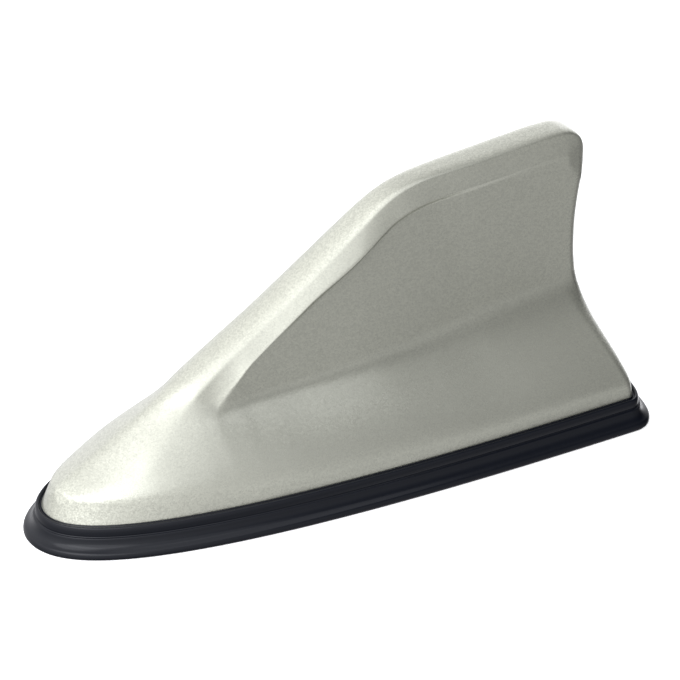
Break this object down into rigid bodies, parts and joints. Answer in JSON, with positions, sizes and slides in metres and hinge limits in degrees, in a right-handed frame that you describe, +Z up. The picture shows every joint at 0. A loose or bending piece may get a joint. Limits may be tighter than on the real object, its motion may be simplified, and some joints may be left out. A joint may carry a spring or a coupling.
{
  "type": "shark fin aerial",
  "caption": "Fin-shaped roof aerial: hollow painted cover on a rubber gasket over a stick-on base plate, with mast, loading coil and amplifier board inside.",
  "frame": {"origin": "middle of the bounding box's underside, on the roof surface", "axes": "+X from the low nose to the tall tail, +Y across, +Z up from the roof"},
  "size_m": [0.1672, 0.076, 0.071],
  "materials": {
    "painted_cover": "champagne silver metallic paint under clear lacquer",
    "black_rubber": "smooth moulded rubber",
    "black_plastic": "moulded, fine grain",
    "foam_tape": "closed cell foam",
    "plated_steel": "zinc plated",
    "tinned_steel": "tinned sheet",
    "green_laminate": "solder resist on glass laminate",
    "black_resin": "moulded resin",
    "capacitor_body": "fired, plain",
    "contact_brass": "plated",
    "copper": "bare copper",
    "white_plastic": "moulded"
  },
  "bodies": {
    "root": {"cover": "painted_cover", "gasket": "black_rubber", "base_plate": "black_plastic", "adhesive_pad": "foam_tape", "cover_screws": "plated_steel", "ground_plate": "plated_steel", "circuit_board": "green_laminate", "board_screws": "plated_steel", "shield_can": "tinned_steel", "amplifier_chip": "black_resin", "chip_capacitors": "capacitor_body", "chip_inductors": "black_resin", "lead_socket": "contact_brass", "socket_insulator": "white_plastic", "socket_pin": "contact_brass", "cable_grommet": "black_rubber", "mast_holder": "black_plastic", "mast_board": "green_laminate", "cap_strip": "copper", "mast_track": "copper", "coil_former": "white_plastic", "loading_coil": "copper", "coil_lug": "contact_brass", "foam_block": "foam_tape"}
  },
  "joints": []
}
